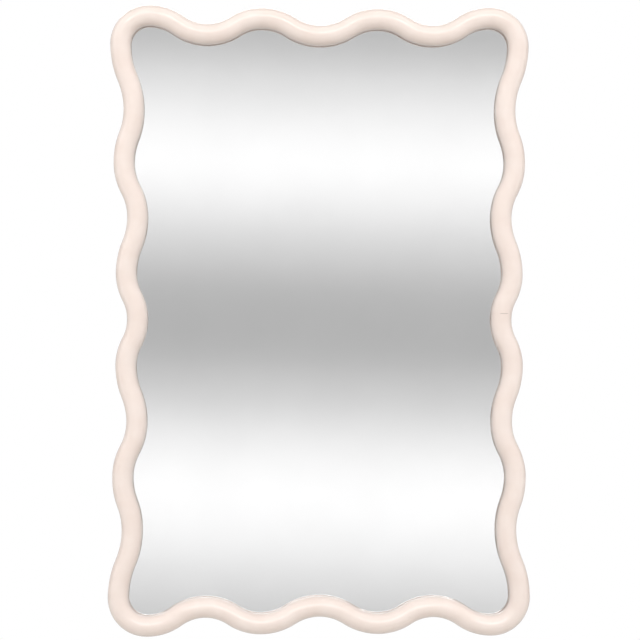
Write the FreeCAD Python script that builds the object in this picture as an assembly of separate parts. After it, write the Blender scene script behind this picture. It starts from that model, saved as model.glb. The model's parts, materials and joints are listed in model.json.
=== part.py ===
import FreeCAD, Part
import math
import os

Vec = FreeCAD.Vector

# Wall mirror in a wavy frame of bent steel tube. Millimetres: x along the wall, y into it, z up.
# The origin is the middle of the wall plane that the rubber bumpers rest on.

# Frame tube: its centreline is a chain of wave extremes joined by pairs of equal tangent arcs
tube_diameter = 30.0
tube_wall = 1.5
corner_radius = 41.5
top_runs = (85.0, 79.5, 84.0)               # short rail, from its middle to the corner
top_rises = (25.0, 24.0, 27.0)
side_runs = (67.0, 81.5, 80.0, 75.5, 96.5)  # long rail, from its middle to the corner
side_rises = (16.5, 16.0, 20.0, 14.0, 19.5)

# Closing joints of the two bent halves, one on each long rail
seam_height = 9.0
weld_width = 0.5
weld_undercut = 0.15      # the right-hand weld is dressed this far below the tube
sleeve_length = 60.0
sleeve_wall = 1.8
sleeve_clearance = 0.15

# Silvered glass, its seal, its bonding tape and the panel behind it
glass_thickness = 4.0
glass_edge_gap = 0.3      # between the front edge of the glass and the tube
coat_thickness = 0.1
bead_diameter = 2.0       # lies in the wedge between the tube and the edge of the glass
bead_gap = 0.1
tape_count = 4
tape_width = 24.0
tape_thickness = 1.0
tape_margin = 30.0        # from the ends of the tape to the panel's narrowest places
panel_thickness = 6.0

# Rivet nuts in the back of the tube, and the screws that they take
rivet_flange_diameter = 9.5
rivet_flange_thickness = 0.8
rivet_body_diameter = 7.0
rivet_body_length = 10.0
rivet_collar_diameter = 8.6
rivet_collar_height = 2.4
rivet_collar_gap = 0.3    # from the crimped collar to the inside of the tube
rivet_gap = 0.05
screw_diameter = 4.0
screw_length = 10.0
screw_gap = 0.05
screw_head_diameter = 8.0
screw_head_height = 2.6
screw_head_round = 1.1
recess_width = 1.1
recess_span = 4.2
recess_depth = 1.5
washer_diameter = 7.6
washer_thickness = 1.0
washer_gap = 0.15

# Turn clips: flat strips on the rivet nuts, with their noses over the panel
clip_width = 10.0
clip_thickness = 1.2
clip_tail = 6.5
clip_overlap = 8.0        # of the nose on the panel
clip_hole_gap = 0.15
clip_end_radius = 3.0
clip_panel_gap = 0.05

# Ring hangers: a strap on two rivet nuts, rolled round the bar of a wire ring
strap_width = 10.0
strap_thickness = 1.2
strap_hole_spacing = 18.0
strap_end_margin = 5.5
strap_hole_gap = 0.15
strap_eye_gap = 1.0       # from the screw head to the rolled eye
ring_wire = 2.6
ring_gap = 0.05           # running fit of the bar in the eye
ring_side_gap = 1.9       # from the strap to the legs of the ring
ring_leg = 7.0
ring_corner_radius = 3.2

# Rubber bumpers on the back of the panel
bumper_diameter = 14.0
bumper_height = 6.0
bumper_edge_round = 0.8
bumper_inset = 58.0       # from the corner's outermost centreline, along x and z

# Derived stack along y, from the wall forwards
tube_radius = tube_diameter / 2
bore_radius = tube_radius - tube_wall
panel_back = -bumper_height
panel_front = panel_back - panel_thickness
coat_back = panel_front - tape_thickness
glass_back = coat_back - coat_thickness
glass_front = glass_back - glass_thickness
seat = panel_back + clip_panel_gap          # of the clips on the rivet nuts
tube_back = seat - rivet_flange_thickness
tube_middle = tube_back - tube_radius

# Derived reach of the centreline, and the insets of what lies inside the frame
half_width = sum(top_runs) + corner_radius
half_height = sum(side_runs) + corner_radius
glass_depth = glass_front - tube_middle
glass_inset = math.sqrt((tube_radius + glass_edge_gap) ** 2 - glass_depth ** 2)
panel_inset = glass_inset
bead_radius = bead_diameter / 2
bead_inset = glass_inset - bead_gap - bead_radius
bead_depth = math.sqrt((tube_radius + bead_gap + bead_radius) ** 2 - bead_inset ** 2)


def extremes(runs, rises, reach):
    """Wave extremes from the middle of a rail to its corner, as (along, across)."""
    across = [reach]
    sign = -1
    for rise in reversed(rises):
        across.insert(0, across[0] + sign * rise)
        sign = -sign
    along = [sum(runs[:i]) for i in range(len(runs) + 1)]
    return list(zip(along, across))


top_extremes = extremes(top_runs, top_rises, half_height)
side_extremes = extremes(side_runs, side_rises, half_width)


def wave_arcs(points):
    """Two equal arcs between each pair of extremes: (centre, start, end, side), side 1 on a crest."""
    arcs = []
    for (a0, b0), (a1, b1) in zip(points, points[1:]):
        run = a1 - a0
        rise = abs(b1 - b0)
        radius = (run ** 2 + rise ** 2) / (4 * rise)
        middle = ((a0 + a1) / 2, (b0 + b1) / 2)
        side = 1 if b0 > b1 else -1
        arcs.append(((a0, b0 - side * radius), (a0, b0), middle, side))
        arcs.append(((a1, b1 + side * radius), middle, (a1, b1), -side))
    return arcs


def swapped(arcs):
    """The same arcs with their two coordinates exchanged and their order reversed."""
    turn = [((c[1], c[0]), (e[1], e[0]), (s[1], s[0]), side) for c, s, e, side in arcs]
    return turn[::-1]


def flipped(arcs, fx, fz):
    """A mirrored copy of the arcs, run the other way."""
    return [((c[0] * fx, c[1] * fz), (e[0] * fx, e[1] * fz), (s[0] * fx, s[1] * fz), side)
            for c, s, e, side in reversed(arcs)]


def centreline():
    """The whole loop, clockwise from the middle of the top rail."""
    corner = (sum(top_runs), sum(side_runs))
    bend = (corner, (corner[0], half_height), (half_width, corner[1]), 1)
    quarter = wave_arcs(top_extremes) + [bend] + swapped(wave_arcs(side_extremes))
    right = quarter + flipped(quarter, 1, -1)
    return right + flipped(right, -1, 1)


loop = centreline()


def outline(inset, y):
    """The closed wire that lies inset from the centreline, towards the glass, at depth y."""
    edges = []
    for centre, start, end, side in loop:
        c = Vec(centre[0], y, centre[1])
        rays = [Vec(p[0], y, p[1]) - c for p in (start, end)]
        radius = rays[0].Length - side * inset
        rays.insert(1, rays[0] + rays[1])
        points = [c + ray.normalize() * radius for ray in rays]
        edges.append(Part.Arc(*points).toShape())
    return Part.Wire(edges)


def plate(inset, front, back):
    return Part.Face(outline(inset, front)).extrude(Vec(0, back - front, 0))


def sweep(path, radius, start, direction):
    profile = Part.Wire(Part.makeCircle(radius, start, direction))
    return path.makePipeShell([profile], True, False)


def loop_pipe(radius, inset=0.0, y=tube_middle):
    start = Vec(0, y, top_extremes[0][1] - inset)
    return sweep(outline(inset, y), radius, start, Vec(1, 0, 0))


def slab(low, high, left=True, right=True):
    """A block between two heights, on one long side of the frame or on both."""
    reach = half_width + tube_diameter
    x0 = -reach if left else 0.0
    x1 = reach if right else 0.0
    return Part.makeBox(x1 - x0, 2 * tube_diameter, high - low,
                        Vec(x0, tube_middle - tube_diameter, low))


def pin(radius, y0, y1, x=0.0, z=0.0):
    """A cylinder along y."""
    return Part.makeCylinder(radius, y1 - y0, Vec(x, y0, z), Vec(0, 1, 0))


def placed(shape, point, direction):
    """Turn a piece made about the origin so that its +x follows direction, and set it on the tube."""
    angle = math.degrees(math.atan2(-direction[1], direction[0]))
    copy = shape.copy()
    copy.Placement = FreeCAD.Placement(Vec(point[0], 0, point[1]),
                                       FreeCAD.Rotation(Vec(0, 1, 0), angle))
    return copy


def rim_edges(shape, y):
    """The edges that lie in the plane at y."""
    return [e for e in shape.Edges if max(abs(e.BoundBox.YMin - y), abs(e.BoundBox.YMax - y)) < 1e-6]


def end_corners(strip, x):
    """The short edges through the thickness of a flat strip, at its end x."""
    box = [edge.BoundBox for edge in strip.Edges]
    return [edge for edge, b in zip(strip.Edges, box)
            if max(abs(b.XMin - x), abs(b.XMax - x), b.ZLength) < 1e-6]


# Where the clips and the hangers sit on the centreline, with the way each one points
def rail_point(rail, index, along_sign, across_sign):
    points = top_extremes if rail == "top" else side_extremes
    along, across = points[index]
    along *= along_sign
    across *= across_sign
    return (along, across) if rail == "top" else (across, along)


clip_places = {}
for rail, sign in (("top", 1), ("bottom", -1)):
    for spot, index, side in (("left", 2, -1), ("middle", 0, 1), ("right", 2, 1)):
        clip_places[f"{rail}_{spot}"] = (rail_point("top", index, side, sign), (0, -sign))
for rail, sign in (("left", -1), ("right", 1)):
    for spot, side in (("upper", 1), ("lower", -1)):
        clip_places[f"{rail}_{spot}"] = (rail_point("side", 2, side, sign), (-sign, 0))

hanger_places = {
    "left": (rail_point("side", 3, 1, -1), (0, 1)),
    "right": (rail_point("side", 3, 1, 1), (0, 1)),
    "top": (rail_point("top", 1, 1, 1), (1, 0)),
    "bottom": (rail_point("top", 1, 1, -1), (1, 0)),
}


def hanger_holes(place):
    (x, z), (dx, dz) = place
    half = strap_hole_spacing / 2
    return [(x + s * dx * half, z + s * dz * half) for s in (-1, 1)]


clip_holes = [point for point, _ in clip_places.values()]
strap_holes = [hole for place in hanger_places.values() for hole in hanger_holes(place)]


def rivet_nut():
    """Flange on the tube, body through its wall, crimped collar inside it, threaded bore."""
    collar_depth = math.sqrt(bore_radius ** 2 - (rivet_collar_diameter / 2) ** 2)
    collar_top = tube_middle + collar_depth - rivet_collar_gap
    nut = pin(rivet_flange_diameter / 2, tube_back, seat)
    nut = nut.fuse(pin(rivet_body_diameter / 2, tube_back - rivet_body_length, tube_back))
    nut = nut.fuse(pin(rivet_collar_diameter / 2, collar_top - rivet_collar_height, collar_top))
    bore = pin(screw_diameter / 2 + screw_gap, tube_back - rivet_body_length, seat)
    return nut.cut(bore).removeSplitter()


def pan_screw(under_head):
    """Pan head screw with a cross recess, its head seated at under_head."""
    top = under_head + screw_head_height
    head = pin(screw_head_diameter / 2, under_head, top)
    head = head.makeFillet(screw_head_round, rim_edges(head, top))
    for across, along in ((recess_width, recess_span), (recess_span, recess_width)):
        corner = Vec(-across / 2, top - recess_depth, -along / 2)
        head = head.cut(Part.makeBox(across, recess_depth, along, corner))
    return head.fuse(pin(screw_diameter / 2, under_head - screw_length, under_head))


def spring_washer(y):
    """A washer ring with the small cut of a spring washer."""
    inner = screw_diameter / 2 + washer_gap
    ring = pin(washer_diameter / 2, y, y + washer_thickness).cut(pin(inner, y, y + washer_thickness))
    split = Part.makeBox(washer_diameter, washer_thickness, washer_thickness,
                         Vec(0, y, -washer_thickness / 2))
    return ring.cut(split)


def turn_clip():
    """Flat strip that turns about its screw, made pointing along +x."""
    nose_tip = panel_inset + clip_overlap
    corner = Vec(-clip_tail, seat, -clip_width / 2)
    clip = Part.makeBox(clip_tail + nose_tip, clip_thickness, clip_width, corner)
    clip = clip.makeFillet(clip_end_radius, end_corners(clip, -clip_tail) + end_corners(clip, nose_tip))
    return clip.cut(pin(screw_diameter / 2 + clip_hole_gap, seat, seat + clip_thickness))


# Rolled eye of a hanger, along z in the hanger's own frame
eye_bore = ring_wire / 2 + ring_gap
eye_radius = eye_bore + strap_thickness
eye_x = strap_hole_spacing / 2 + screw_head_diameter / 2 + strap_eye_gap + eye_radius
eye_y = seat + eye_radius


def rod_z(radius, length, x, y):
    return Part.makeCylinder(radius, length, Vec(x, y, -length / 2), Vec(0, 0, 1))


def hanger_strap():
    """Flat strap on two rivet nuts with its end rolled into an eye, made pointing along +x."""
    tail = -strap_hole_spacing / 2 - strap_end_margin
    strap = Part.makeBox(eye_x - tail, strap_thickness, strap_width, Vec(tail, seat, -strap_width / 2))
    strap = strap.makeFillet(strap_end_margin / 2, end_corners(strap, tail))
    strap = strap.fuse(rod_z(eye_radius, strap_width, eye_x, eye_y)).removeSplitter()
    strap = strap.cut(rod_z(eye_bore, strap_width, eye_x, eye_y))
    for x in (-strap_hole_spacing / 2, strap_hole_spacing / 2):
        strap = strap.cut(pin(screw_diameter / 2 + strap_hole_gap, seat, seat + strap_thickness, x))
    return strap


def hanger_ring():
    """Wire ring: a straight bar in the eye, two rounded corners, two legs and a half circle."""
    half = strap_width / 2 + ring_side_gap + ring_wire / 2
    r = ring_corner_radius
    k = r * (1 - math.sqrt(0.5))

    def at(x, z):
        return Vec(eye_x + x, eye_y, z)

    path = [
        Part.LineSegment(at(0, r - half), at(0, half - r)),
        Part.Arc(at(0, half - r), at(k, half - k), at(r, half)),
        Part.LineSegment(at(r, half), at(ring_leg, half)),
        Part.Arc(at(ring_leg, half), at(ring_leg + half, 0), at(ring_leg, -half)),
        Part.LineSegment(at(ring_leg, -half), at(r, -half)),
        Part.Arc(at(r, -half), at(k, k - half), at(0, r - half)),
    ]
    wire = Part.Wire([piece.toShape() for piece in path])
    return sweep(wire, ring_wire / 2, at(0, r - half), Vec(0, 0, 1))


def bumper(x, z):
    disc = pin(bumper_diameter / 2, panel_back, 0, x, z)
    return disc.makeFillet(bumper_edge_round, rim_edges(disc, 0))


def bonding_tape():
    """Upright strips of foam tape between the glass and the panel."""
    inner_x = side_extremes[0][1] - panel_inset - tape_margin
    inner_z = min(top_extremes[0][1], top_extremes[2][1]) - panel_inset - tape_margin
    strips = []
    for i in range(tape_count):
        x = -inner_x + (2 * inner_x - tape_width) * i / (tape_count - 1)
        strips.append(Part.makeBox(tape_width, tape_thickness, 2 * inner_z, Vec(x, coat_back, -inner_z)))
    return Part.makeCompound(strips)


def group(piece, points):
    return Part.makeCompound([placed(piece, point, (1, 0)) for point in points])


def frame_pieces():
    """The two bent halves, their closing welds and the sleeves inside the joints."""
    bore = loop_pipe(bore_radius)
    holes = [pin(rivet_body_diameter / 2 + rivet_gap, tube_middle, tube_back + tube_wall, x, z)
             for x, z in clip_holes + strap_holes]
    tube = loop_pipe(tube_radius).cut(bore)
    drilled = tube.cut(Part.makeCompound(holes))
    low = seam_height - weld_width / 2
    high = seam_height + weld_width / 2
    reach = half_height + tube_diameter
    dressed = loop_pipe(tube_radius - weld_undercut).cut(bore)
    welds = [tube.common(slab(low, high, right=False)), dressed.common(slab(low, high, left=False))]
    sleeve_radius = bore_radius - sleeve_clearance
    sleeve = loop_pipe(sleeve_radius).cut(loop_pipe(sleeve_radius - sleeve_wall))
    low_end = seam_height - sleeve_length / 2
    high_end = seam_height + sleeve_length / 2
    return {
        "frame_tube_upper": drilled.common(slab(high, reach)),
        "frame_tube_lower": drilled.common(slab(-reach, low)),
        "seam_welds": Part.makeCompound([solid for weld in welds for solid in weld.Solids]),
        "joint_sleeve_left": sleeve.common(slab(low_end, high_end, right=False)),
        "joint_sleeve_right": sleeve.common(slab(low_end, high_end, left=False)),
    }


def build():
    pieces = frame_pieces()
    pieces["glazing_bead"] = loop_pipe(bead_radius, bead_inset, tube_middle + bead_depth)
    pieces["mirror_glass"] = plate(glass_inset, glass_front, glass_back)
    pieces["silver_coat"] = plate(glass_inset, glass_back, coat_back)
    pieces["bonding_tape"] = bonding_tape()
    pieces["back_panel"] = plate(panel_inset, panel_front, panel_back)
    pieces["rivet_nuts"] = group(rivet_nut(), clip_holes + strap_holes)
    clip = turn_clip()
    for name, (point, inward) in clip_places.items():
        pieces[f"turn_clip_{name}"] = placed(clip, point, inward)
    foot_back = seat + clip_thickness
    pieces["clip_washers"] = group(spring_washer(foot_back), clip_holes)
    pieces["clip_screws"] = group(pan_screw(foot_back + washer_thickness), clip_holes)
    strap = hanger_strap()
    ring = hanger_ring()
    for name, (point, direction) in hanger_places.items():
        pieces[f"hanger_strap_{name}"] = placed(strap, point, direction)
        pieces[f"hanger_ring_{name}"] = placed(ring, point, direction)
    pieces["hanger_screws"] = group(pan_screw(seat + strap_thickness), strap_holes)
    for row, sz in (("top", 1), ("bottom", -1)):
        for column, sx in (("left", -1), ("right", 1)):
            place = (sx * (half_width - bumper_inset), sz * (half_height - bumper_inset))
            pieces[f"wall_bumper_{row}_{column}"] = bumper(*place)
    return pieces


os.makedirs("parts", exist_ok=True)
for node, shape in build().items():
    shape.exportStep(f"parts/{node}.step")
    box = shape.BoundBox
    print(f"{node}: {len(shape.Solids)} solids, volume {shape.Volume:.1f}, valid {shape.isValid()}, "
          f"x {box.XMin:.1f} {box.XMax:.1f} y {box.YMin:.1f} {box.YMax:.1f} z {box.ZMin:.1f} {box.ZMax:.1f}")
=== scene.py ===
import json
import math
import bmesh
import bpy
from mathutils import Matrix, Vector


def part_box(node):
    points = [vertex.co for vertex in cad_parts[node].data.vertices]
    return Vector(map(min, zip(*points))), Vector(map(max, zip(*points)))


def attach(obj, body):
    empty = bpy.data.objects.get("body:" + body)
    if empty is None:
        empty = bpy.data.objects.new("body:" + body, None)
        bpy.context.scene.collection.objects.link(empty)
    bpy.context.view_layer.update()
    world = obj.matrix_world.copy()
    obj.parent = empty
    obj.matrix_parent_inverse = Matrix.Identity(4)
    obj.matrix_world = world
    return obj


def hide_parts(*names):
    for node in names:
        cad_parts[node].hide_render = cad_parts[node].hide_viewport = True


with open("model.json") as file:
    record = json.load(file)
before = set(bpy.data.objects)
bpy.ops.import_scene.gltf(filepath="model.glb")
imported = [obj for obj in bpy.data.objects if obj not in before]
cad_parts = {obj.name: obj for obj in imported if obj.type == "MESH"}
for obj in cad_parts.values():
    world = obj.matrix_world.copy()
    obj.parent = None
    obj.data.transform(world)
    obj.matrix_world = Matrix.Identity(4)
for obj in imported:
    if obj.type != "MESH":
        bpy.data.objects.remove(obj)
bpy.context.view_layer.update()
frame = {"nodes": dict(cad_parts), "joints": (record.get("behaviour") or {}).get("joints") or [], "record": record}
scene = bpy.context.scene
mm = 0.001      # the dictionaries below give sizes in millimetres, the scene is in metres
hair = 0.001 * mm       # points closer than this count as one, or as level
print("frame loaded:", len(frame["nodes"]), "nodes")


# Nodes, trees and materials

def hexLinear(code):
    parts = [int(code[i:i + 2], 16) / 255 for i in (1, 3, 5)]
    return [p / 12.92 if p <= 0.04045 else ((p + 0.055) / 1.055) ** 2.4 for p in parts] + [1.0]


def addNode(tree, kind, inputs=None, stops=(), **settings):
    node = tree.nodes.new(kind)
    for name, value in settings.items():
        setattr(node, name, value)
    for i, (position, colour) in enumerate(stops):
        ramp = node.color_ramp.elements
        stop = ramp[i] if i < len(ramp) else ramp.new(position)
        stop.position = position
        stop.color = colour
    for name, value in (inputs or {}).items():
        if isinstance(value, bpy.types.NodeSocket):
            tree.links.new(value, node.inputs[name])
        else:
            node.inputs[name].default_value = value
    return node


def tonesOf(finish, *names):
    # Stops of a ramp: the named colours of a finish at the places of its spread
    return [(position, hexLinear(finish[name])) for position, name in zip(finish["spread"], names)]


def newMaterial(name, **constants):
    material = bpy.data.materials.new(name)
    material.use_nodes = True
    tree = material.node_tree
    tree.nodes.clear()
    shader = addNode(tree, "ShaderNodeBsdfPrincipled", constants)
    addNode(tree, "ShaderNodeOutputMaterial", {"Surface": shader.outputs[0]})
    place = addNode(tree, "ShaderNodeTexCoord").outputs["Object"]
    return material, tree, shader, place


# The seam colour is painted shadow: it darkens the groove of the right-hand weld
powderCoat = {"colour": "#F3E4DB", "shade": "#EFDED4", "seamShadowColour": "#BFAEA1", "spread": (0.35, 0.65),
              "roughness": (0.3825, 0.5175), "gloss": 0.03, "mottleSize": 35.0, "peelSize": 3.2, "peelDepth": 0.002}


def powderCoatedSteel():
    # Gloss polyester powder baked on steel: an even cream with soft mottling and the orange peel of the melt, and on
    # the right-hand weld a painted shadow line that stands in for the shade in its groove.
    # The peel of a real coat is about 1.5 mm, drawn coarser here so that it shows.
    material, tree, shader, place = newMaterial("powderCoatedSteel", **{
        "IOR": 1.5, "Coat Weight": 1.0, "Coat Roughness": powderCoat["gloss"], "Coat IOR": 1.5})
    mottle = addNode(tree, "ShaderNodeTexNoise", {"Vector": place, "Scale": 1 / (powderCoat["mottleSize"] * mm),
                                                  "Detail": 3.0})
    colour = addNode(tree, "ShaderNodeValToRGB", {"Fac": mottle.outputs["Fac"]},
                     stops=tonesOf(powderCoat, "shade", "colour"))
    gloss = addNode(tree, "ShaderNodeMapRange", {"Value": mottle.outputs["Fac"],
                                                 "To Min": powderCoat["roughness"][0],
                                                 "To Max": powderCoat["roughness"][1]})
    peel = addNode(tree, "ShaderNodeTexNoise", {"Vector": place, "Scale": 1 / (powderCoat["peelSize"] * mm),
                                                "Detail": 1.0})
    bump = addNode(tree, "ShaderNodeBump", {"Height": peel.outputs["Fac"], "Strength": 1.0,
                                            "Distance": powderCoat["peelDepth"] * mm})
    # Painted shadow: where the seamShade mark is set, the coat is darkened to the seam's shadow colour
    seam = addNode(tree, "ShaderNodeAttribute", attribute_name="seamShade")
    shaded = addNode(tree, "ShaderNodeMix", {0: seam.outputs["Fac"], 6: colour.outputs["Color"],
                                             7: hexLinear(powderCoat["seamShadowColour"])}, data_type="RGBA")
    tree.links.new(shaded.outputs[2], shader.inputs["Base Color"])
    tree.links.new(gloss.outputs["Result"], shader.inputs["Roughness"])
    tree.links.new(bump.outputs["Normal"], shader.inputs["Normal"])
    tree.links.new(bump.outputs["Normal"], shader.inputs["Coat Normal"])
    return material


glassFinish = {"colour": "#FEFFFE", "waveSize": 90.0, "waveDepth": 0.0006}


def floatGlass():
    # Polished float glass: clear with a trace of green, and so flat that its long ripple barely bends a line.
    material, tree, shader, place = newMaterial("polishedFloatGlass", **{
        "Base Color": hexLinear(glassFinish["colour"]), "Transmission Weight": 1.0, "Roughness": 0.0, "IOR": 1.52})
    wave = addNode(tree, "ShaderNodeTexNoise", {"Vector": place, "Scale": 1 / (glassFinish["waveSize"] * mm),
                                                "Detail": 0.0})
    bump = addNode(tree, "ShaderNodeBump", {"Height": wave.outputs["Fac"], "Strength": 1.0,
                                            "Distance": glassFinish["waveDepth"] * mm})
    tree.links.new(bump.outputs["Normal"], shader.inputs["Normal"])
    return material


silverFinish = {"colour": "#F5F3F5", "clouded": "#F2F0F2", "spread": (0.3, 0.7), "cloudSize": 120.0,
                "roughness": 0.002}


def silveredCoat():
    # Wet-deposited silver behind the glass: a full bright reflection with the slightest clouding.
    material, tree, shader, place = newMaterial("depositedSilver", **{
        "Metallic": 1.0, "Roughness": silverFinish["roughness"]})
    cloud = addNode(tree, "ShaderNodeTexNoise", {"Vector": place, "Scale": 1 / (silverFinish["cloudSize"] * mm)})
    colour = addNode(tree, "ShaderNodeValToRGB", {"Fac": cloud.outputs["Fac"]},
                     stops=tonesOf(silverFinish, "clouded", "colour"))
    tree.links.new(colour.outputs["Color"], shader.inputs["Base Color"])
    return material


sealFinish = {"colour": "#E6CDBF", "shade": "#DCC1B1", "spread": (0.3, 0.7), "grainSize": 0.8, "grainDepth": 0.01,
              "roughness": 0.5}


def sealRubber():
    # Run bead of silicone sealant: cream, satin, with a fine drawn grain.
    material, tree, shader, place = newMaterial("runSiliconeSeal", **{
        "Roughness": sealFinish["roughness"], "IOR": 1.5})
    grain = addNode(tree, "ShaderNodeTexNoise", {"Vector": place, "Scale": 1 / (sealFinish["grainSize"] * mm)})
    colour = addNode(tree, "ShaderNodeValToRGB", {"Fac": grain.outputs["Fac"]},
                     stops=tonesOf(sealFinish, "shade", "colour"))
    bump = addNode(tree, "ShaderNodeBump", {"Height": grain.outputs["Fac"],
                                            "Distance": sealFinish["grainDepth"] * mm})
    tree.links.new(colour.outputs["Color"], shader.inputs["Base Color"])
    tree.links.new(bump.outputs["Normal"], shader.inputs["Normal"])
    return material


boardFinish = {"colour": "#B48C60", "light": "#BF9B70", "dark": "#9B764E", "spread": (0.32, 0.5, 0.68),
               "fibreLength": 1.7, "fibreWidth": 0.6, "fibreDepth": 0.03, "roughness": (0.62, 0.82)}
boardCloud = {"dull": "#EFEDEB", "clean": "#FFFFFF", "spread": (0.3, 0.7), "size": 60.0}      # multiplied in


def sandedFibreboard():
    # Sanded medium density fibreboard: tan, with short light and dark fibres and broad faint clouding.
    # Real fibres are under a tenth of a millimetre wide, drawn wider here so that they show.
    material, tree, shader, place = newMaterial("sandedFibreboard", **{"IOR": 1.45})
    laid = addNode(tree, "ShaderNodeMapping", {"Vector": place, "Scale": (
        1 / (boardFinish["fibreLength"] * mm), 1 / (boardFinish["fibreWidth"] * mm),
        1 / (boardFinish["fibreWidth"] * mm))})
    fibre = addNode(tree, "ShaderNodeTexNoise", {"Vector": laid.outputs[0], "Scale": 1.0, "Detail": 3.0,
                                                 "Distortion": 1.2})
    fibreColour = addNode(tree, "ShaderNodeValToRGB", {"Fac": fibre.outputs["Fac"]},
                          stops=tonesOf(boardFinish, "dark", "colour", "light"))
    cloud = addNode(tree, "ShaderNodeTexNoise", {"Vector": place, "Scale": 1 / (boardCloud["size"] * mm),
                                                 "Detail": 4.0})
    cloudTone = addNode(tree, "ShaderNodeValToRGB", {"Fac": cloud.outputs["Fac"]},
                        stops=tonesOf(boardCloud, "dull", "clean"))
    colour = addNode(tree, "ShaderNodeMix", {0: 1.0, 6: fibreColour.outputs["Color"], 7: cloudTone.outputs["Color"]},
                     data_type="RGBA", blend_type="MULTIPLY")
    rough = addNode(tree, "ShaderNodeMapRange", {"Value": fibre.outputs["Fac"],
                                                 "To Min": boardFinish["roughness"][0],
                                                 "To Max": boardFinish["roughness"][1]})
    bump = addNode(tree, "ShaderNodeBump", {"Height": fibre.outputs["Fac"],
                                            "Distance": boardFinish["fibreDepth"] * mm})
    tree.links.new(colour.outputs[2], shader.inputs["Base Color"])
    tree.links.new(rough.outputs["Result"], shader.inputs["Roughness"])
    tree.links.new(bump.outputs["Normal"], shader.inputs["Normal"])
    return material


zincFinish = {"colour": "#D2D5D6", "cool": "#BCC4CB", "warm": "#D3CDBB", "spread": (0.3, 0.5, 0.72), "tintSize": 7.0,
              "scratchLength": 6.0, "scratchWidth": 0.25, "scratchDepth": 0.006, "scratchAngle": 38,
              "roughness": (0.22, 0.42)}


def zincPlatedSteel():
    # Bright zinc plate, clear passivated: pale grey with patches of cool and warm tint and fine rolling lines.
    # The lines of real sheet are some hundredths of a millimetre wide, drawn coarser here so that they show.
    material, tree, shader, place = newMaterial("zincPlatedSteel", **{"Metallic": 1.0})
    tint = addNode(tree, "ShaderNodeTexNoise", {"Vector": place, "Scale": 1 / (zincFinish["tintSize"] * mm),
                                                "Detail": 3.0})
    colour = addNode(tree, "ShaderNodeValToRGB", {"Fac": tint.outputs["Fac"]},
                     stops=tonesOf(zincFinish, "cool", "colour", "warm"))
    fine = 1 / (zincFinish["scratchWidth"] * mm)
    drawn = addNode(tree, "ShaderNodeMapping", {
        "Vector": place, "Rotation": (0.0, math.radians(zincFinish["scratchAngle"]), 0.0),
        "Scale": (1 / (zincFinish["scratchLength"] * mm), fine, fine)})
    scratch = addNode(tree, "ShaderNodeTexNoise", {"Vector": drawn.outputs[0], "Scale": 1.0, "Detail": 2.0})
    rough = addNode(tree, "ShaderNodeMapRange", {"Value": scratch.outputs["Fac"],
                                                 "To Min": zincFinish["roughness"][0],
                                                 "To Max": zincFinish["roughness"][1]})
    bump = addNode(tree, "ShaderNodeBump", {"Height": scratch.outputs["Fac"],
                                            "Distance": zincFinish["scratchDepth"] * mm})
    tree.links.new(colour.outputs["Color"], shader.inputs["Base Color"])
    tree.links.new(rough.outputs["Result"], shader.inputs["Roughness"])
    tree.links.new(bump.outputs["Normal"], shader.inputs["Normal"])
    return material


bareFinish = {"colour": "#8E8E90", "stain": "#77706A", "spread": (0.4, 0.6), "stainSize": 9.0,
              "roughness": (0.6, 0.35)}       # rougher in the stains


def drawnSteel():
    # Cold drawn steel as it leaves the die: mid grey with dull oily stains.
    material, tree, shader, place = newMaterial("coldDrawnSteel", **{"Metallic": 1.0})
    stain = addNode(tree, "ShaderNodeTexNoise", {"Vector": place, "Scale": 1 / (bareFinish["stainSize"] * mm),
                                                 "Detail": 5.0})
    colour = addNode(tree, "ShaderNodeValToRGB", {"Fac": stain.outputs["Fac"]},
                     stops=tonesOf(bareFinish, "stain", "colour"))
    rough = addNode(tree, "ShaderNodeMapRange", {"Value": stain.outputs["Fac"],
                                                 "To Min": bareFinish["roughness"][0],
                                                 "To Max": bareFinish["roughness"][1]})
    tree.links.new(colour.outputs["Color"], shader.inputs["Base Color"])
    tree.links.new(rough.outputs["Result"], shader.inputs["Roughness"])
    return material


foamFinish = {"colour": "#F2F1EC", "cell": "#D9D8D1", "spread": (0.1, 0.5), "cellSize": 0.6, "cellDepth": 0.08,
              "roughness": 0.85}


def closedCellFoam():
    # White closed-cell foam tape: chalky, pitted with small cells.
    material, tree, shader, place = newMaterial("closedCellFoam", **{
        "Roughness": foamFinish["roughness"], "IOR": 1.45})
    cell = addNode(tree, "ShaderNodeTexVoronoi", {"Vector": place, "Scale": 1 / (foamFinish["cellSize"] * mm)})
    colour = addNode(tree, "ShaderNodeValToRGB", {"Fac": cell.outputs["Distance"]},
                     stops=tonesOf(foamFinish, "cell", "colour"))
    bump = addNode(tree, "ShaderNodeBump", {"Height": cell.outputs["Distance"],
                                            "Distance": foamFinish["cellDepth"] * mm})
    tree.links.new(colour.outputs["Color"], shader.inputs["Base Color"])
    tree.links.new(bump.outputs["Normal"], shader.inputs["Normal"])
    return material


bumperFinish = {"colour": "#1B1B1C", "dusty": "#2A2928", "spread": (0.45, 0.75), "grainSize": 0.5, "grainDepth": 0.02,
                "roughness": (0.52, 0.72)}


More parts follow.
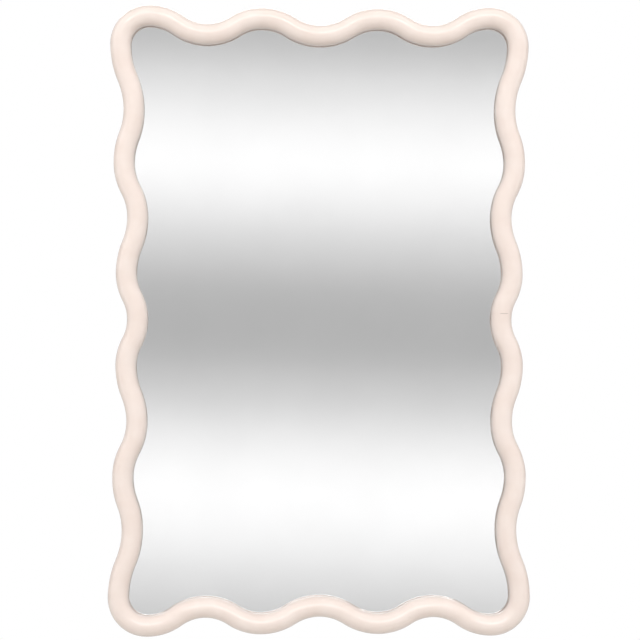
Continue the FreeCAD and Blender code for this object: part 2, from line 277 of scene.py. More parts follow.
def mouldedRubber():
    # Moulded black rubber: matt, finely grained, with a trace of dust in the grain.
    material, tree, shader, place = newMaterial("mouldedBlackRubber", **{"IOR": 1.52})
    grain = addNode(tree, "ShaderNodeTexNoise", {"Vector": place, "Scale": 1 / (bumperFinish["grainSize"] * mm),
                                                 "Detail": 3.0})
    colour = addNode(tree, "ShaderNodeValToRGB", {"Fac": grain.outputs["Fac"]},
                     stops=tonesOf(bumperFinish, "colour", "dusty"))
    rough = addNode(tree, "ShaderNodeMapRange", {"Value": grain.outputs["Fac"],
                                                 "To Min": bumperFinish["roughness"][0],
                                                 "To Max": bumperFinish["roughness"][1]})
    bump = addNode(tree, "ShaderNodeBump", {"Height": grain.outputs["Fac"],
                                            "Distance": bumperFinish["grainDepth"] * mm})
    tree.links.new(colour.outputs["Color"], shader.inputs["Base Color"])
    tree.links.new(rough.outputs["Result"], shader.inputs["Roughness"])
    tree.links.new(bump.outputs["Normal"], shader.inputs["Normal"])
    return material


finishes = {
    "powder_coated_steel": powderCoatedSteel(),
    "bare_steel": drawnSteel(),
    "zinc_plated_steel": zincPlatedSteel(),
    "clear_glass": floatGlass(),
    "silvering": silveredCoat(),
    "seal_rubber": sealRubber(),
    "foam_tape": closedCellFoam(),
    "fibreboard": sandedFibreboard(),
    "bumper_rubber": mouldedRubber(),
}
nodeSlots = {part["node"]: part["material_slot"] for part in frame["record"]["subparts"]}
print("finishes made:", len(finishes))


# Making pieces

def addPiece(name, mesh, slotName, body="frame", stands=()):
    piece = bpy.data.objects.new(name, mesh)
    scene.collection.objects.link(piece)
    mesh.materials.clear()
    mesh.materials.append(finishes[slotName])
    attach(piece, body)
    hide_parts(*stands)
    return piece


def meshFrom(name, build, sharpAngle=35):
    mesh = bpy.data.meshes.new(name)
    build.to_mesh(mesh)
    build.free()
    mesh.shade_smooth()
    mesh.set_sharp_from_angle(angle=math.radians(sharpAngle))
    return mesh


def evaluatedMesh(helper):
    depsgraph = bpy.context.evaluated_depsgraph_get()
    mesh = bpy.data.meshes.new_from_object(helper.evaluated_get(depsgraph))
    helper.modifiers.clear()
    bpy.data.objects.remove(helper)
    return mesh


def newTree(name, sockets):
    tree = bpy.data.node_groups.new(name, "GeometryNodeTree")
    tree.interface.new_socket("Geometry", in_out="INPUT", socket_type="NodeSocketGeometry")
    for label, kind in sockets.items():
        tree.interface.new_socket(label, in_out="INPUT", socket_type=kind)
    tree.interface.new_socket("Geometry", in_out="OUTPUT", socket_type="NodeSocketGeometry")
    return tree, addNode(tree, "NodeGroupInput").outputs


def runTree(name, data, tree, values):
    helper = bpy.data.objects.new(name, data)
    scene.collection.objects.link(helper)
    modifier = helper.modifiers.new(name, "NODES")
    modifier.node_group = tree
    for item in tree.interface.items_tree:
        if item.in_out == "INPUT" and item.name in values:
            modifier[item.identifier] = values[item.name]
    return evaluatedMesh(helper)


def sweepTree():
    # A round section swept along a path
    tree, given = newTree("roundSweep", {"Radius": "NodeSocketFloat", "Sides": "NodeSocketInt",
                                         "Steps": "NodeSocketInt", "Finish": "NodeSocketMaterial"})
    path = addNode(tree, "GeometryNodeSetSplineResolution", {"Geometry": given["Geometry"],
                                                             "Resolution": given["Steps"]})
    ring = addNode(tree, "GeometryNodeCurvePrimitiveCircle", {"Radius": given["Radius"],
                                                              "Resolution": given["Sides"]})
    swept = addNode(tree, "GeometryNodeCurveToMesh", {"Curve": path.outputs[0], "Profile Curve": ring.outputs[0]})
    smooth = addNode(tree, "GeometryNodeSetShadeSmooth", {"Geometry": swept.outputs[0], "Shade Smooth": True})
    real = addNode(tree, "GeometryNodeRealizeInstances", {"Geometry": smooth.outputs[0]})
    painted = addNode(tree, "GeometryNodeSetMaterial", {"Geometry": real.outputs[0], "Material": given["Finish"]})
    addNode(tree, "NodeGroupOutput", {"Geometry": painted.outputs[0]})
    return tree


def scatterTree():
    # A piece set at each point, turned by chance about the axis that runs into the wall
    tree, given = newTree("setAtPoints", {"Piece": "NodeSocketObject", "Turn": "NodeSocketFloat",
                                          "Seed": "NodeSocketInt", "Finish": "NodeSocketMaterial"})
    source = addNode(tree, "GeometryNodeObjectInfo", {"Object": given["Piece"]}, transform_space="ORIGINAL")
    turn = addNode(tree, "FunctionNodeRandomValue", {2: 0.0, 3: given["Turn"], "Seed": given["Seed"]},
                   data_type="FLOAT")
    angles = addNode(tree, "ShaderNodeCombineXYZ", {"Y": turn.outputs[1]})
    copies = addNode(tree, "GeometryNodeInstanceOnPoints", {
        "Points": given["Geometry"], "Instance": source.outputs["Geometry"], "Rotation": angles.outputs[0]})
    real = addNode(tree, "GeometryNodeRealizeInstances", {"Geometry": copies.outputs[0]})
    painted = addNode(tree, "GeometryNodeSetMaterial", {"Geometry": real.outputs[0], "Material": given["Finish"]})
    addNode(tree, "NodeGroupOutput", {"Geometry": painted.outputs[0]})
    return tree


roundSweep = sweepTree()
setAtPoints = scatterTree()


# The path of the frame: wave extremes joined by pairs of equal tangent arcs

frameTube = {
    "diameter": 30.0, "wall": 1.5, "cornerRadius": 41.5,
    "topRuns": (85.0, 79.5, 84.0), "topRises": (25.0, 24.0, 27.0),     # short rail, from its middle to the corner
    "sideRuns": (67.0, 81.5, 80.0, 75.5, 96.5), "sideRises": (16.5, 16.0, 20.0, 14.0, 19.5),    # long rail
    "seamHeight": 9.0, "weldWidth": 0.7, "weldUndercut": 0.5,
    "seamShown": (-0.25, 0.5),       # stretch of the painted shadow line on the right weld, in tube radii from its middle
    "sides": 64, "stepsPerBend": 14,
}
tubeLow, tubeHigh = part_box("frame_tube_upper")
tubeMiddle = (tubeLow.y + tubeHigh.y) / 2 / mm
tubeRadius = frameTube["diameter"] / 2


def waveExtremes(runs, rises, reach):
    across = [reach]
    for i, rise in enumerate(reversed(rises)):
        across.insert(0, across[0] + (-rise if i % 2 == 0 else rise))
    return [Vector((sum(runs[:i]), across[i])) for i in range(len(runs) + 1)]


def waveArcs(points):
    arcs = []       # centre, start, end, and 1 on a crest or -1 in a trough
    for low, high in zip(points, points[1:]):
        run, rise = high.x - low.x, abs(high.y - low.y)
        radius = (run ** 2 + rise ** 2) / (4 * rise)
        side = 1 if low.y > high.y else -1
        middle = (low + high) / 2
        arcs.append((low - Vector((0, side * radius)), low, middle, side))
        arcs.append((high + Vector((0, side * radius)), middle, high, -side))
    return arcs


def frameLoop():
    corner = Vector((sum(frameTube["topRuns"]), sum(frameTube["sideRuns"])))
    reach = corner + Vector((frameTube["cornerRadius"],) * 2)
    top = waveExtremes(frameTube["topRuns"], frameTube["topRises"], reach.y)
    side = waveExtremes(frameTube["sideRuns"], frameTube["sideRises"], reach.x)
    bend = (corner, Vector((corner.x, reach.y)), Vector((reach.x, corner.y)), 1)
    downSide = [(c.yx, e.yx, s.yx, sign) for c, s, e, sign in reversed(waveArcs(side))]
    quarter = waveArcs(top) + [bend] + downSide

    def flipped(arcs, flip):
        return [(c * flip, e * flip, s * flip, sign) for c, s, e, sign in reversed(arcs)]

    right = quarter + flipped(quarter, Vector((1, -1)))
    return right + flipped(right, Vector((-1, 1)))


loopArcs = frameLoop()


def arcSpan(centre, start, end, side=1, inset=0.0):
    # A Bezier span of an arc, drawn in by the inset: start, its handle, the handle of the end, end
    rays = [(p - centre) * (1 - side * inset / (p - centre).length) for p in (start, end)]
    turn = rays[0].angle(rays[1])
    reach = 4 / 3 * math.tan(turn / 4) / math.sin(turn)
    handles = [a + (b - a * math.cos(turn)) * reach for a, b in (rays, rays[::-1])]
    return [centre + v for v in (rays[0], *handles, rays[1])]


def lineSpan(start, end):
    return [start, start.lerp(end, 1 / 3), start.lerp(end, 2 / 3), end]


def closedPath(name, spans, depth):
    curve = bpy.data.curves.new(name, "CURVE")
    curve.dimensions = "3D"
    spline = curve.splines.new("BEZIER")
    spline.bezier_points.add(len(spans) - 1)
    spline.use_cyclic_u = True
    points = spline.bezier_points
    for point in points:
        point.handle_left_type = point.handle_right_type = "FREE"
    for i, span in enumerate(spans):
        start, leave, arrive, _ = [Vector((v.x, depth, v.y)) * mm for v in span]
        following = points[(i + 1) % len(spans)]
        points[i].co = start
        points[i].handle_right = leave
        following.handle_left = arrive
    return curve


def sweptLoop(name, inset, depth, radius, sides, steps, slotName):
    spans = [arcSpan(*arc, inset=inset) for arc in loopArcs]
    return runTree(name, closedPath(name, spans, depth), roundSweep, {
        "Radius": radius * mm, "Sides": sides, "Steps": steps, "Finish": finishes[slotName]})


# Frame tube in two bent halves, with their closing welds

def tubeStretch(name, whole, low, high, undercut=0.0):
    build = bmesh.new()
    build.from_mesh(whole)
    for level, inner in ((low, True), (high, False)):
        if level is not None:
            bmesh.ops.bisect_plane(build, geom=build.verts[:] + build.edges[:] + build.faces[:],
                                   plane_co=(0, 0, level * mm), plane_no=(0, 0, 1),
                                   clear_inner=inner, clear_outer=not inner)
    rims = [e for e in build.edges if e.is_boundary]
    if undercut:
        dressRight(build, undercut)
    for level in (low, high):
        for sign in (-1, 1):
            ring = [e for e in rims if level is not None and e.verts[0].co.x * sign > 0
                    and abs(e.verts[0].co.z - level * mm) < hair]
            if ring:
                bmesh.ops.bridge_loops(build, edges=ring)
    bmesh.ops.recalc_face_normals(build, faces=build.faces[:])
    return meshFrom(name, build)


def dressRight(build, undercut):
    right = [v for v in build.verts if v.co.x > 0]
    centre = Vector((sum(v.co.x for v in right) / len(right), tubeMiddle * mm))
    for v in right:
        arm = Vector((v.co.x, v.co.y)) - centre
        if arm.length > (tubeRadius - frameTube["wall"] / 2) * mm:
            v.co.xy = centre + arm * (1 - undercut * mm / arm.length)


def shadeSeam(mesh):
    # A fine painted shadow line shows on the front of the right-hand weld, from the middle towards the outside,
    # standing in for the shade in its groove
    rightX = [v.co.x for v in mesh.vertices if v.co.x > 0]
    centre = (max(rightX) + min(rightX)) / 2
    first, last = frameTube["seamShown"]
    shade = mesh.attributes.new("seamShade", "FLOAT", "POINT")
    for v, mark in zip(mesh.vertices, shade.data):
        across = (v.co.x - centre) / (tubeRadius * mm)
        mark.value = 1.0 if v.co.y < tubeMiddle * mm and first < across < last and v.co.x > 0 else 0.0


def makeFrameTube():
    sides, steps = frameTube["sides"], frameTube["stepsPerBend"]
    both = bmesh.new()
    for name, radius in (("tubeOuter", tubeRadius), ("tubeBore", tubeRadius - frameTube["wall"])):
        both.from_mesh(sweptLoop(name, 0, tubeMiddle, radius, sides, steps, "powder_coated_steel"))
    whole = bpy.data.meshes.new("tubeWhole")
    both.to_mesh(whole)
    both.free()
    low = frameTube["seamHeight"] - frameTube["weldWidth"] / 2
    high = frameTube["seamHeight"] + frameTube["weldWidth"] / 2
    upper = tubeStretch("frameTubeUpper", whole, high, None)
    lower = tubeStretch("frameTubeLower", whole, None, low)
    welds = tubeStretch("seamWelds", whole, low, high, frameTube["weldUndercut"])
    shadeSeam(welds)
    addPiece("frameTubeUpper", upper, "powder_coated_steel", stands=["frame_tube_upper"])
    addPiece("frameTubeLower", lower, "powder_coated_steel", stands=["frame_tube_lower"])
    addPiece("seamWelds", welds, "powder_coated_steel", stands=["seam_welds"])


makeFrameTube()
print("frame tube swept")


# Silvering, seal and back panel round the glass, which stays as it was built

plates = {"inset": 14.58, "panelBevel": 0.5, "silverGap": 0.02, "stepsPerBend": 20}


def insetLoop(build, inset, y):
    rim = []
    for centre, start, end, side in loopArcs:
        a, b = start - centre, end - centre
        radius = a.length - side * inset
        for i in range(plates["stepsPerBend"]):
            ray = a.slerp(b, i / plates["stepsPerBend"]).normalized() * radius + centre
            rim.append(build.verts.new((ray.x * mm, y, ray.y * mm)))
    return rim


def platePiece(name, node, inset, front, back, bevel=0.0):
    build = bmesh.new()
    face = build.faces.new(insetLoop(build, inset, front))
    raised = bmesh.ops.extrude_face_region(build, geom=[face])["geom"]
    for v in raised:
        if isinstance(v, bmesh.types.BMVert):
            v.co.y = back
    bmesh.ops.recalc_face_normals(build, faces=build.faces[:])
    if bevel:
        edges = [e for e in build.edges if abs(e.verts[0].co.y - e.verts[1].co.y) < hair]
        bmesh.ops.bevel(build, geom=edges, offset=bevel * mm, segments=2, profile=0.5, affect="EDGES")
    addPiece(name, meshFrom(name, build), nodeSlots[node], stands=[node])


coatLow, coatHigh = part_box("silver_coat")
panelLow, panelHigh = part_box("back_panel")
platePiece("silverCoat", "silver_coat", plates["inset"], coatLow.y + plates["silverGap"] * mm, coatHigh.y)
platePiece("backPanel", "back_panel", plates["inset"], panelLow.y, panelHigh.y, plates["panelBevel"])


bead = {"diameter": 2.0, "inset": 13.48, "sides": 16, "stepsPerBend": 8,
        # sealant pressed against the edge of the glass, from and to these insets, kept inside its two faces
        "skirtFrom": 14.3, "skirtTo": 14.8, "skirtSunk": 0.05}


def makeBead():
    beadLow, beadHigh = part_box("glazing_bead")
    front, back = (side.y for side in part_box("mirror_glass"))
    front, back = front + bead["skirtSunk"] * mm, back - bead["skirtSunk"] * mm
    cord = sweptLoop("glazingCord", bead["inset"], (beadLow.y + beadHigh.y) / 2 / mm, bead["diameter"] / 2,
                     bead["sides"], bead["stepsPerBend"], "seal_rubber")
    build = bmesh.new()
    rims = [insetLoop(build, bead[inset], y) for inset, y in (
        ("skirtFrom", front), ("skirtTo", front), ("skirtTo", back), ("skirtFrom", back))]
    for near, far in zip(rims, rims[1:] + rims[:1]):
        for i in range(len(near)):
            build.faces.new((near[i - 1], near[i], far[i], far[i - 1]))
    bmesh.ops.recalc_face_normals(build, faces=build.faces[:])
    build.from_mesh(cord)
    addPiece("glazingBead", meshFrom("glazingBead", build), "seal_rubber", stands=["glazing_bead"])


makeBead()
print("silvering, seal and panel made")


# Fittings behind the frame, placed by the joints of the clips and the rings

jointPlaces = {joint["name"]: Vector(joint["pos_m"]) / mm for joint in frame["joints"]}
clipAims = {"top": (0, -1), "bottom": (0, 1), "left": (1, 0), "right": (-1, 0)}
ringAims = {"top": (1, 0), "bottom": (1, 0), "left": (0, 1), "right": (0, 1)}
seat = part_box("turn_clip_top_middle")[0].y / mm       # back of the rivet nut flanges


def turnedTo(x, z, aim, y=0.0):
    # Places a piece made about the origin, with its +x along the aim
    return Matrix.Translation(Vector((x, y, z)) * mm) @ Matrix.Rotation(math.atan2(-aim[1], aim[0]), 4, "Y")


def lathe(name, profile, segments):
    build = bmesh.new()
    verts = [build.verts.new((radius * mm, y * mm, 0)) for radius, y in profile]
    edges = [build.edges.new(pair) for pair in zip(verts, verts[1:])]
    if profile[0][0] and profile[-1][0]:
        edges.append(build.edges.new((verts[-1], verts[0])))
    bmesh.ops.spin(build, geom=verts + edges, cent=(0, 0, 0), axis=(0, 1, 0), angle=2 * math.pi, steps=segments)
    bmesh.ops.remove_doubles(build, verts=build.verts[:], dist=hair)
    bmesh.ops.recalc_face_normals(build, faces=build.faces[:])
    return meshFrom(name, build)


def quarterRound(x, y, radius, start, steps=5):
    # Points on a rounded corner about (x, y), a quarter turn from the start angle in degrees
    angles = [math.radians(start + 90 * i / steps) for i in range(steps + 1)]
    return [(x + radius * math.cos(a), y + radius * math.sin(a)) for a in angles]


def prism(name, outline, low, high, taper=1.0):
    # A closed block on an outline in x and z, narrowed towards its low end
    build = bmesh.new()
    ends = [[build.verts.new((x * k * mm, y * mm, z * k * mm)) for x, z in outline]
            for y, k in ((low, taper), (high, 1.0))]
    build.faces.new(ends[0])
    build.faces.new(ends[1])
    for i in range(len(outline)):
        j = (i + 1) % len(outline)
        build.faces.new((ends[0][i], ends[0][j], ends[1][j], ends[1][i]))
    bmesh.ops.recalc_face_normals(build, faces=build.faces[:])
    return meshFrom(name, build)


def cutAway(name, mesh, cutters):
    helper = bpy.data.objects.new(name, mesh)
    scene.collection.objects.link(helper)
    tools = []
    for cutter in cutters:
        tool = bpy.data.objects.new(name + "Cutter", cutter)
        scene.collection.objects.link(tool)
        modifier = helper.modifiers.new("cut", "BOOLEAN")
        modifier.operation = "DIFFERENCE"
        modifier.solver = "EXACT"
        modifier.object = tool
        tools.append(tool)
    build = bmesh.new()
    build.from_mesh(evaluatedMesh(helper))
    for tool in tools:
        bpy.data.objects.remove(tool)
    bmesh.ops.remove_doubles(build, verts=build.verts[:], dist=2 * hair)
    bmesh.ops.dissolve_degenerate(build, edges=build.edges[:], dist=2 * hair)
    bmesh.ops.triangulate(build, faces=[f for f in build.faces if len(f.verts) > 4])
    return meshFrom(name, build)


def holeCutter(diameter, x, thickness, sides=32):
    outline = [(x + diameter / 2 * math.cos(a), diameter / 2 * math.sin(a))
               for a in [2 * math.pi * i / sides for i in range(sides)]]
    return prism("holeCutter", outline, -thickness, 2 * thickness)


def bentStrip(name, path, width, thickness, rounds, bevel, holes, bevelAngle=50):
    # Sheet strip along a path in x and y, its ends rounded, given its thickness, bevelled and drilled
    build = bmesh.new()
    along = [0.0]
    for a, b in zip(path, path[1:]):
        along.append(along[-1] + (b - a).length)
    rows = []
    for point, s in zip(path, along):
        half = width / 2
        for distance, radius in ((s, rounds[0]), (along[-1] - s, rounds[1])):
            if distance < radius:
                half += math.sqrt(radius ** 2 - (radius - distance) ** 2) - radius
        rows.append([build.verts.new((point.x * mm, point.y * mm, half * k / 2 * mm)) for k in (-2, -1, 0, 1, 2)])
    for row, following in zip(rows, rows[1:]):
        for i in range(4):
            build.faces.new((row[i], row[i + 1], following[i + 1], following[i]))
    mesh = meshFrom(name, build)
    helper = bpy.data.objects.new(name, mesh)
    scene.collection.objects.link(helper)
    sheet = helper.modifiers.new("sheet", "SOLIDIFY")
    sheet.thickness = thickness * mm
    sheet.offset = 0.0
    edge = helper.modifiers.new("edge", "BEVEL")
    edge.width = bevel * mm
    edge.segments = 2
    edge.limit_method = "ANGLE"
    edge.angle_limit = math.radians(bevelAngle)
    return cutAway(name, evaluatedMesh(helper), holes)


def spacedLine(start, end, firstRound, lastRound, steps=4):
    # Points along a straight strip, closer together where its ends are rounded
    span = (end - start).length
    at = {0.0, span} | {firstRound * (1 - math.cos(math.pi / 2 * i / steps)) for i in range(1, steps + 1)}
    at |= {span - lastRound * (1 - math.cos(math.pi / 2 * i / steps)) for i in range(1, steps + 1) if lastRound}
    return [start.lerp(end, s / span) for s in sorted(at)]


clip = {"width": 10.0, "thickness": 1.2, "tail": 6.5, "reach": 22.58, "endRound": 3.0, "hole": 4.3, "bevel": 0.12}


def makeClips():
    middle = clip["thickness"] / 2
    path = spacedLine(Vector((-clip["tail"], middle)), Vector((clip["reach"], middle)),
                      clip["endRound"], clip["endRound"])
    mesh = bentStrip("turnClip", path, clip["width"], clip["thickness"], (clip["endRound"],) * 2, clip["bevel"],
                     [holeCutter(clip["hole"], 0.0, clip["thickness"])])
    places = []
    for name, place in jointPlaces.items():
        if name.startswith("clip_turn_"):
            spot = name[len("clip_turn_"):]
            copy = mesh.copy()
            copy.transform(turnedTo(place.x, place.z, clipAims[spot.split("_")[0]], seat))
            addPiece("turnClip_" + spot, copy, "zinc_plated_steel", "turn_clip_" + spot, ["turn_clip_" + spot])
            places.append(place)
    return places


strap = {"width": 10.0, "thickness": 1.2, "holeSpacing": 18.0, "endMargin": 5.5, "endRound": 2.75, "hole": 4.3,
         "bevel": 0.12, "eyeReach": 16.55, "eyeTurn": 295, "eyeSteps": 22, "eyePlay": 0.05}
ring = {"wire": 2.6, "half": 8.2, "corner": 3.2, "leg": 7.0, "sides": 20, "stepsPerBend": 10}


def makeHangers():
    half = strap["thickness"] / 2
    tail = Vector((-strap["holeSpacing"] / 2 - strap["endMargin"], half))
    bend = Vector((strap["eyeReach"], half))
    eyeMiddle = ring["wire"] / 2 + strap["eyePlay"] + half
    path = spacedLine(tail, bend, strap["endRound"], 0.0)
    for i in range(1, strap["eyeSteps"] + 1):
        turn = math.radians(strap["eyeTurn"] * i / strap["eyeSteps"])
        path.append(bend + eyeMiddle * Vector((math.sin(turn), 1 - math.cos(turn))))
    strapMesh = bentStrip("hangerStrap", path, strap["width"], strap["thickness"], (strap["endRound"], 0.0),
                          strap["bevel"], [holeCutter(strap["hole"], k * strap["holeSpacing"] / 2,
                                                      strap["thickness"]) for k in (-1, 1)])
    ringMesh = sweptRing(Vector((strap["eyeReach"], half + eyeMiddle)))
    holes = []
    for spot, aim in ringAims.items():
        eye = jointPlaces["ring_swing_" + spot]
        aimed = Vector((aim[0], 0, aim[1]))
        middle = eye - aimed * strap["eyeReach"]
        place = turnedTo(middle.x, middle.z, aim, seat)
        for label, mesh, body in (("hangerStrap_", strapMesh, "frame"),
                                  ("hangerRing_", ringMesh, "hanger_ring_" + spot)):
            copy = mesh.copy()
            copy.transform(place)
            node = ("hanger_strap_" if body == "frame" else "hanger_ring_") + spot
            addPiece(label + spot, copy, "zinc_plated_steel", body, [node])
        holes += [middle + aimed * k * strap["holeSpacing"] / 2 for k in (-1, 1)]
    return holes


def sweptRing(eye):
    half, corner, leg = ring["half"], ring["corner"], ring["leg"]
    bow = Vector((leg, 0))
    spans = [lineSpan(Vector((0, corner - half)), Vector((0, half - corner))),
             arcSpan(Vector((corner, half - corner)), Vector((0, half - corner)), Vector((corner, half))),
             lineSpan(Vector((corner, half)), Vector((leg, half))),
             arcSpan(bow, Vector((leg, half)), Vector((leg + half, 0))),
             arcSpan(bow, Vector((leg + half, 0)), Vector((leg, -half))),
             lineSpan(Vector((leg, -half)), Vector((corner, -half))),
             arcSpan(Vector((corner, corner - half)), Vector((corner, -half)), Vector((0, corner - half)))]
    spans = [[v + Vector((eye.x, 0)) for v in span] for span in spans]
    return runTree("hangerRing", closedPath("hangerRing", spans, eye.y), roundSweep, {
        "Radius": ring["wire"] / 2 * mm, "Sides": ring["sides"], "Steps": ring["stepsPerBend"],
        "Finish": finishes["zinc_plated_steel"]})


screw = {"shank": 4.0, "length": 10.0, "tipChamfer": 0.5, "head": 8.0, "height": 2.6, "edge": 0.9, "footChamfer": 0.15,
         "crown": 0.55, "crownSteps": 10, "segments": 40, "recessSpan": 4.4, "recessWidth": 1.15, "recessDepth": 1.6,
         "recessTaper": 0.55, "recessOver": 0.4}


def panScrew():
    # Pan head with a cross recess, its shank below
    top, edge, out, shank = screw["height"], screw["edge"], screw["head"] / 2, screw["shank"] / 2
    crown = [(out * math.sin(t), edge + (top - edge) * math.cos(t) ** screw["crown"])
             for t in [math.pi / 2 * i / screw["crownSteps"] for i in range(screw["crownSteps"])]]
    foot = [(out, edge), (out, screw["footChamfer"]), (out - screw["footChamfer"], 0), (shank, 0)]
    tip = [(shank, screw["tipChamfer"] - screw["length"]), (shank - screw["tipChamfer"], -screw["length"]),
           (0, -screw["length"])]
    mesh = lathe("panScrew", [(0, top)] + crown[1:] + foot + tip, screw["segments"])
    a, b = screw["recessSpan"] / 2, screw["recessWidth"] / 2
    cross = [(a, -b), (a, b), (b, b), (b, a), (-b, a), (-b, b),
             (-a, b), (-a, -b), (-b, -b), (-b, -a), (b, -a), (b, -b)]
    recess = prism("recessCutter", cross, top - screw["recessDepth"], top + screw["recessOver"], screw["recessTaper"])
    return cutAway("panScrew", mesh, [recess])


washer = {"outer": 7.6, "inner": 4.3, "thickness": 1.0, "chamfer": 0.12, "gapAngle": 7, "slant": 12, "segments": 48}


def springWasher():
    # Split ring of square wire, its ends cut on a slant
    inner, outer, high, c = washer["inner"] / 2, washer["outer"] / 2, washer["thickness"], washer["chamfer"]
    section = [(inner + c, 0), (outer - c, 0), (outer, c), (outer, high - c), (outer - c, high), (inner + c, high),
               (inner, high - c), (inner, c)]
    build = bmesh.new()
    rings = []
    for i in range(washer["segments"] + 1):
        base = washer["gapAngle"] / 2 + (360 - washer["gapAngle"]) * i / washer["segments"]
        angles = [math.radians(base + washer["slant"] * (y / high - 0.5)) for _, y in section]
        rings.append([build.verts.new((r * math.cos(a) * mm, y * mm, r * math.sin(a) * mm))
                      for (r, y), a in zip(section, angles)])
    for near, far in zip(rings, rings[1:]):
        for k in range(len(section)):
            n = (k + 1) % len(section)
            build.faces.new((near[k], near[n], far[n], far[k]))
    build.faces.new(rings[0])
    build.faces.new(rings[-1])
    bmesh.ops.recalc_face_normals(build, faces=build.faces[:])
    return meshFrom("springWasher", build)


rivet = {"bore": 4.1, "body": 7.0, "length": 10.0, "collar": 8.6, "collarTop": 2.5, "collarHeight": 2.4,
         "collarSlope": 0.4, "flange": 9.5, "flangeThickness": 0.8, "flangeRound": 0.2, "segments": 40}


def rivetNut():
    # Flange on the tube, body through its wall, crimped collar inside, plain bore
    bore, body, collar, flange = [rivet[k] / 2 for k in ("bore", "body", "collar", "flange")]
    top, low, r = rivet["flangeThickness"], rivet["collarTop"], rivet["flangeRound"]
    bottom, slope = low + rivet["collarHeight"], rivet["collarSlope"]
    profile = [(bore, top), (flange - r, top), (flange, top - r), (flange, 0), (body, 0), (body, -low),
               (collar, -low - slope), (collar, slope - bottom), (body, -bottom), (body, -rivet["length"]),
               (bore, -rivet["length"])]
    return lathe("rivetNut", profile, rivet["segments"])


def setPieces(name, node, mesh, places, y, turn, seed):
    source = bpy.data.objects.new(name + "Source", mesh)
    scene.collection.objects.link(source)
    points = bpy.data.meshes.new(name + "Points")
    points.from_pydata([(p.x * mm, y * mm, p.z * mm) for p in places], [], [])
    made = runTree(name, points, setAtPoints, {"Piece": source, "Turn": turn, "Seed": seed,
                                               "Finish": finishes["zinc_plated_steel"]})
    bpy.data.objects.remove(source)
    addPiece(name, made, "zinc_plated_steel", stands=[node])


bumper = {"diameter": 14.0, "draft": 0.25, "edgeRound": 0.8, "dish": 0.35, "dishWidth": 8.0, "dishSlope": 1.0,
          "segments": 48}


def makeBumper(spot):
    low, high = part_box("wall_bumper_" + spot)
    out, r = bumper["diameter"] / 2, bumper["edgeRound"]
    tall = (high.y - low.y) / mm
    rim = quarterRound(out - bumper["draft"] - r, tall - r, r, 0)
    profile = [(0, 0), (out, 0), *rim, (bumper["dishWidth"] / 2, tall),
               (bumper["dishWidth"] / 2 - bumper["dishSlope"], tall - bumper["dish"]), (0, tall - bumper["dish"])]
    mesh = lathe("wallBumper_" + spot, profile, bumper["segments"])
    mesh.transform(Matrix.Translation(((low.x + high.x) / 2, low.y, (low.z + high.z) / 2)))
    addPiece("wallBumper_" + spot, mesh, "bumper_rubber", stands=["wall_bumper_" + spot])


clipPlaces = makeClips()
strapHoles = makeHangers()
fullTurn = 2 * math.pi
screwMesh = panScrew()
washerSeat = seat + clip["thickness"]
setPieces("clipScrews", "clip_screws", screwMesh, clipPlaces, washerSeat + washer["thickness"], fullTurn, seed=3)
setPieces("hangerScrews", "hanger_screws", screwMesh, strapHoles, seat + strap["thickness"], fullTurn, seed=8)
setPieces("clipWashers", "clip_washers", springWasher(), clipPlaces, washerSeat, fullTurn, seed=5)
setPieces("rivetNuts", "rivet_nuts", rivetNut(), clipPlaces + strapHoles, seat - rivet["flangeThickness"], 0.0,
          seed=1)
for corner in ("top_left", "top_right", "bottom_left", "bottom_right"):
    makeBumper(corner)
print("fittings set:", len(clipPlaces), "clips,", len(ringAims), "hangers")


# Every construction node that still shows takes its finish by slot

for name, node in frame["nodes"].items():
    node.data.materials.clear()
    node.data.materials.append(finishes[nodeSlots[name]])


# Stage: pale floor, studio light and camera

studio = {
    "floorDrop": 1.5, "floorRadius": 4.0, "floorColour": "#D8D7D4", "floorWorn": 0.97,      # metres, and a share
    "gain": 1.15, "bandTilt": 0.03,
    # light by elevation in radians: two soft panels in front with a grey gap between them, brighter overhead
    "bands": ((-0.5, 1.35), (-0.25, 1.0), (-0.17, 0.5), (-0.13, 0.62), (-0.103, 0.831), (-0.065, 0.99),
              (-0.0257, 0.752), (0.0033, 0.523), (0.03, 0.451), (0.0568, 0.549), (0.0847, 0.779), (0.12, 0.985),
              (0.165, 0.71), (0.2, 0.5), (0.3, 0.88), (0.6, 0.95), (1.0, 0.82), (1.5, 0.72)),
    "brightest": 2.0,
    "strip": (0.36, 0.48), "stripLight": 6.5, "stripSoft": 0.008,      # strip light, from and to in radians
    "stripHalf": 0.3, "stripFade": 0.1,
    # share of that light by angle off the front in degrees: fuller at both sides of the camera, weaker behind
    "around": ((0, 1.0), (53, 1.0), (66, 1.5), (82, 1.5), (90, 0.55), (102, 0.35), (130, 0.5), (180, 1.1)),
}
cameraView = {"lens": 100.8, "sensor": 36.0, "place": (-80.3, -2619.35, -78.0),
              "yaw": 1.776, "pitch": 1.708, "roll": 0.066, "clip": (0.05, 100)}      # clip in metres, angles in degrees


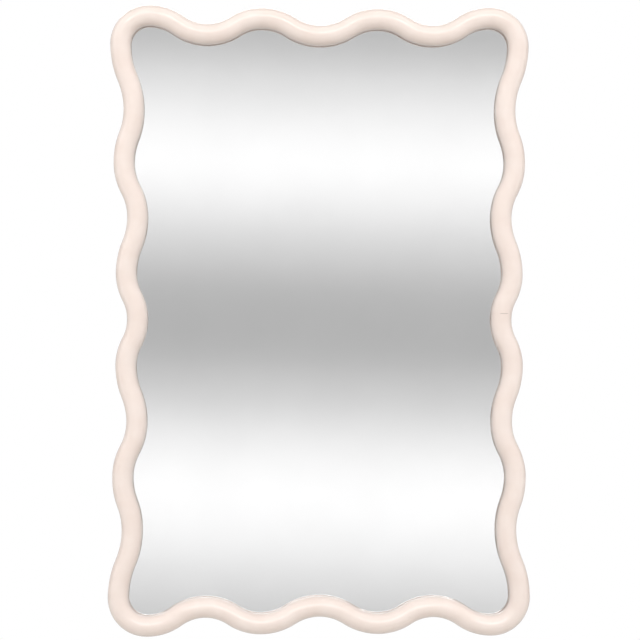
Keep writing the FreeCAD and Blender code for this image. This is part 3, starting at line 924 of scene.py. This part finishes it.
def makeFloor():
    build = bmesh.new()
    bmesh.ops.create_circle(build, cap_ends=True, segments=96, radius=studio["floorRadius"])
    for v in build.verts:
        v.co.z = -studio["floorDrop"]
    mesh = bpy.data.meshes.new("studioFloor")
    build.to_mesh(mesh)
    build.free()
    material, tree, shader, place = newMaterial("paintedFloor", **{"Roughness": 0.6, "IOR": 1.45})
    patch = addNode(tree, "ShaderNodeTexNoise", {"Vector": place, "Scale": 1.5, "Detail": 4.0})
    tone = hexLinear(studio["floorColour"])
    colour = addNode(tree, "ShaderNodeValToRGB", {"Fac": patch.outputs["Fac"]},
                     stops=((0.3, [c * studio["floorWorn"] for c in tone]), (0.7, tone)))
    tree.links.new(colour.outputs["Color"], shader.inputs["Base Color"])
    below = addNode(tree, "ShaderNodeNewGeometry").outputs["Backfacing"]      # nothing shows of it from below
    clear = addNode(tree, "ShaderNodeBsdfTransparent")
    seen = addNode(tree, "ShaderNodeMixShader", {0: below, 1: shader.outputs[0], 2: clear.outputs[0]})
    tree.links.new(seen.outputs[0], tree.get_output_node("ALL").inputs["Surface"])
    mesh.materials.append(material)
    floor = bpy.data.objects.new("studioFloor", mesh)
    scene.collection.objects.link(floor)


def makeLight():
    world = bpy.data.worlds.new("studioLight")
    world.use_nodes = True
    tree = world.node_tree
    tree.nodes.clear()
    way = addNode(tree, "ShaderNodeSeparateXYZ", {0: addNode(tree, "ShaderNodeTexCoord").outputs["Generated"]})
    tilted = addNode(tree, "ShaderNodeMath", {0: way.outputs["X"], 1: studio["bandTilt"], 2: way.outputs["Z"]},
                     operation="MULTIPLY_ADD")
    spot = addNode(tree, "ShaderNodeMath", {0: tilted.outputs[0], 1: 0.5, 2: 0.5}, operation="MULTIPLY_ADD")
    bands = addNode(tree, "ShaderNodeValToRGB", {"Fac": spot.outputs[0]}, stops=[
        (math.sin(angle) / 2 + 0.5, (level / studio["brightest"],) * 3 + (1,)) for angle, level in studio["bands"]])
    bands.color_ramp.interpolation = "CARDINAL"
    low, high = [math.sin(a) / 2 + 0.5 for a in studio["strip"]]
    soft, dark, full = studio["stripSoft"], (0, 0, 0, 1), (1, 1, 1, 1)
    strip = addNode(tree, "ShaderNodeValToRGB", {"Fac": spot.outputs[0]}, stops=(
        (low, dark), (low + soft, full), (high - soft, full), (high, dark)))
    aside = addNode(tree, "ShaderNodeMath", {0: way.outputs["X"]}, operation="ABSOLUTE")
    across = addNode(tree, "ShaderNodeMapRange", {
        "Value": aside.outputs[0], "From Min": studio["stripHalf"] * (1 - studio["stripFade"]),
        "From Max": studio["stripHalf"] * (1 + studio["stripFade"]),
        "To Min": studio["stripLight"] / studio["brightest"], "To Max": 0.0})
    lit = addNode(tree, "ShaderNodeMath", {0: strip.outputs["Color"], 1: across.outputs["Result"],
                                           2: bands.outputs["Color"]}, operation="MULTIPLY_ADD")
    facing = addNode(tree, "ShaderNodeMath", {0: way.outputs["Y"], 1: 0.5, 2: 0.5}, operation="MULTIPLY_ADD")
    around = addNode(tree, "ShaderNodeValToRGB", {"Fac": facing.outputs[0]}, stops=[
        (0.5 - math.cos(math.radians(angle)) / 2, (share / studio["brightest"],) * 3 + (1,))
        for angle, share in studio["around"]])
    level = addNode(tree, "ShaderNodeMath", {0: lit.outputs[0], 1: around.outputs["Color"]}, operation="MULTIPLY")
    light = addNode(tree, "ShaderNodeBackground", {
        "Color": level.outputs[0], "Strength": studio["gain"] * studio["brightest"] ** 2})
    white = addNode(tree, "ShaderNodeBackground", {"Color": full, "Strength": 1.0})
    direct = addNode(tree, "ShaderNodeLightPath").outputs["Is Camera Ray"]
    mixed = addNode(tree, "ShaderNodeMixShader", {0: direct, 1: light.outputs[0], 2: white.outputs[0]})
    addNode(tree, "ShaderNodeOutputWorld", {"Surface": mixed.outputs[0]})
    scene.world = world


def makeCamera():
    data = bpy.data.cameras.new("photoCamera")
    data.lens = cameraView["lens"]
    data.sensor_width = cameraView["sensor"]
    data.clip_start, data.clip_end = cameraView["clip"]
    camera = bpy.data.objects.new("photoCamera", data)
    scene.collection.objects.link(camera)
    yaw, pitch, roll = [math.radians(cameraView[k]) for k in ("yaw", "pitch", "roll")]
    level = Matrix.Rotation(-yaw, 4, "Z") @ Matrix.Rotation(math.pi / 2 + pitch, 4, "X")
    aim = level @ Matrix.Rotation(roll, 4, "Z")
    camera.matrix_world = Matrix.Translation(Vector(cameraView["place"]) * mm) @ aim
    scene.camera = camera


makeFloor()
makeLight()
makeCamera()
scene.view_settings.view_transform = "Standard"
print("stage set")
